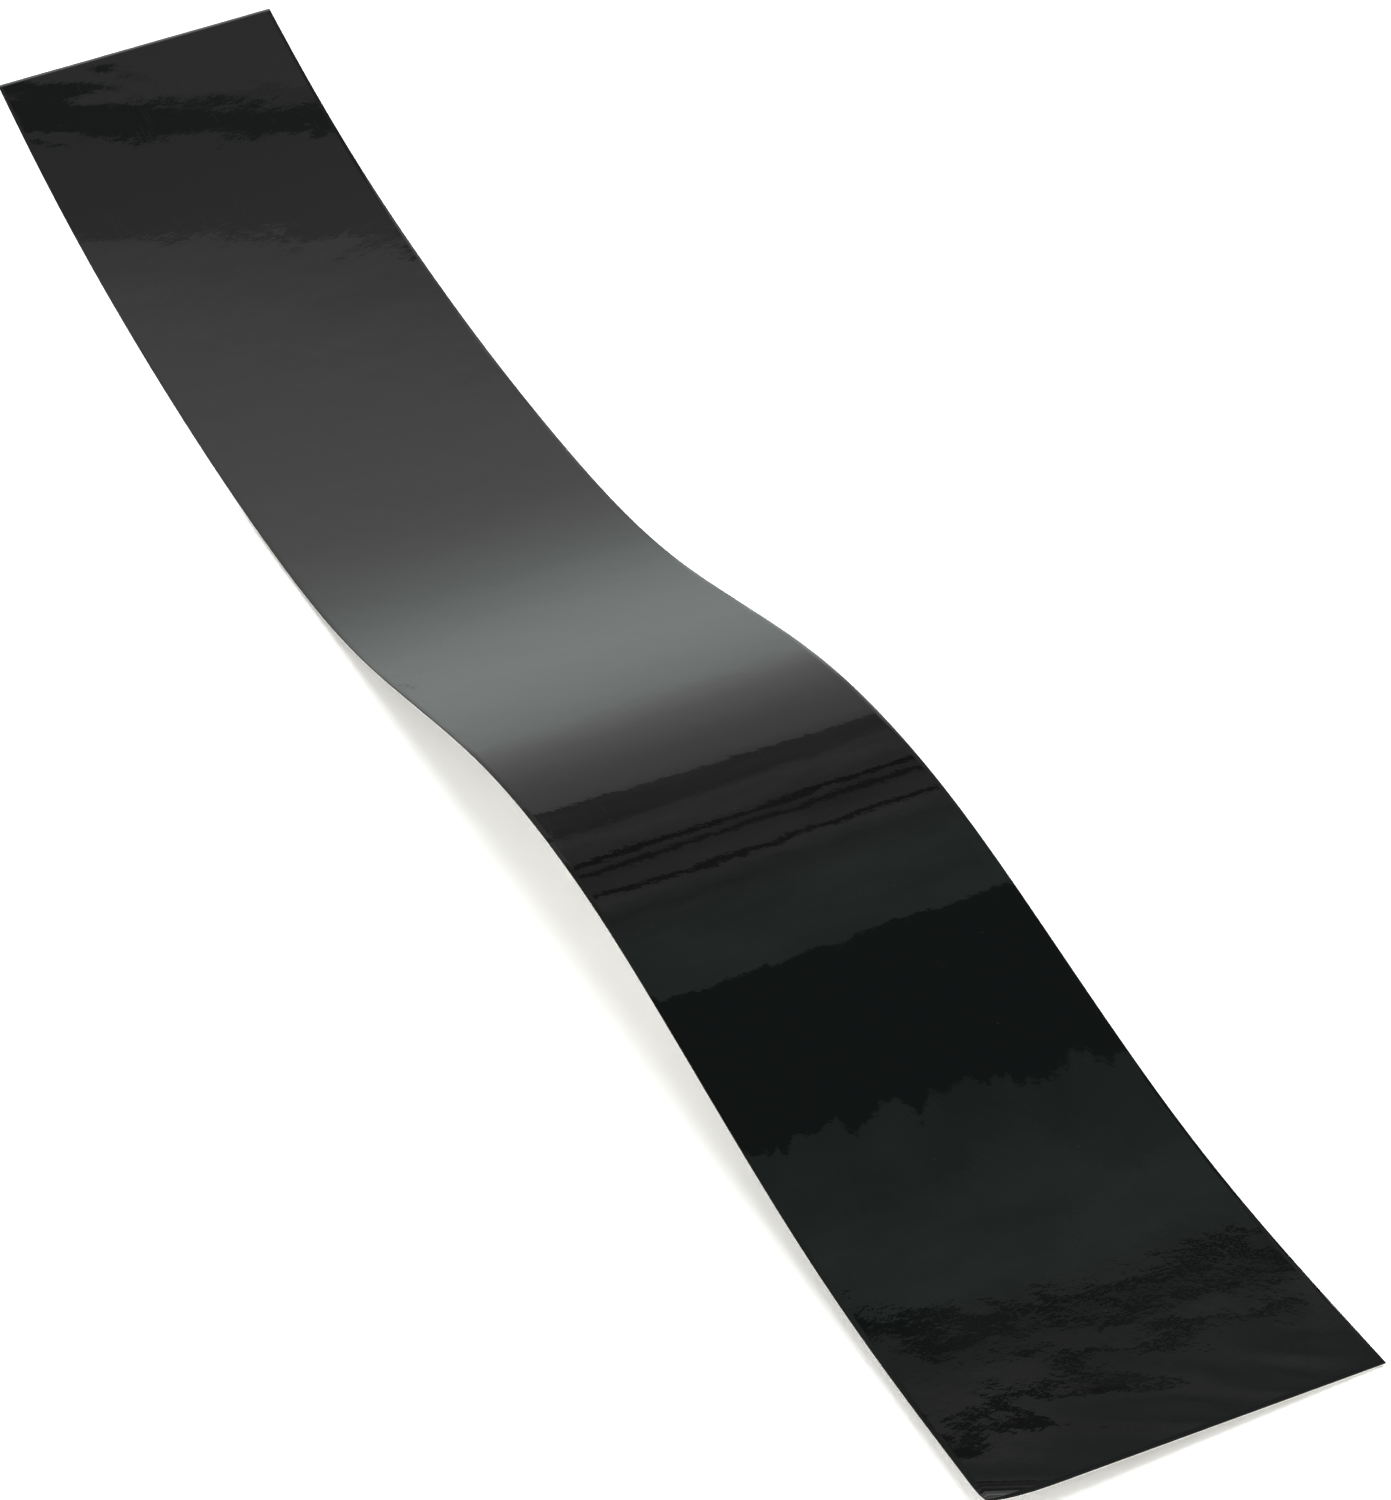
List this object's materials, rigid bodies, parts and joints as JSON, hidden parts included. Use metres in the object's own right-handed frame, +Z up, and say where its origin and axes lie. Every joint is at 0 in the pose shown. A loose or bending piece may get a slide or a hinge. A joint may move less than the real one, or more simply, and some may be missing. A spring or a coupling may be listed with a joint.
{
  "type": "kick plate",
  "caption": "Long thin gloss sheet with an adhesive back and a peel-off release liner, lying with the loose bow it keeps from being rolled; it sticks along the foot of a door.",
  "frame": {"origin": "middle of the strip's outline, on the surface that the strip lies on", "axes": "+X along the strip towards the tip that curls up, +Y across the strip, +Z up, out of the gloss face"},
  "size_m": [0.8982, 0.127, 0.0648],
  "materials": {
    "gloss_face": "high gloss, faintly wavy",
    "adhesive": "clear tacky acrylic coat",
    "liner_paper": "coated release paper, satin"
  },
  "bodies": {
    "liner": {"release_liner": "liner_paper"},
    "plate": {"face_sheet": "gloss_face", "adhesive_layer": "adhesive"}
  },
  "joints": [
    {"name": "liner_peel", "type": "slide", "parent": "liner", "child": "plate", "axis": [0, 0, 1], "range_m": [0, 0.15]}
  ]
}
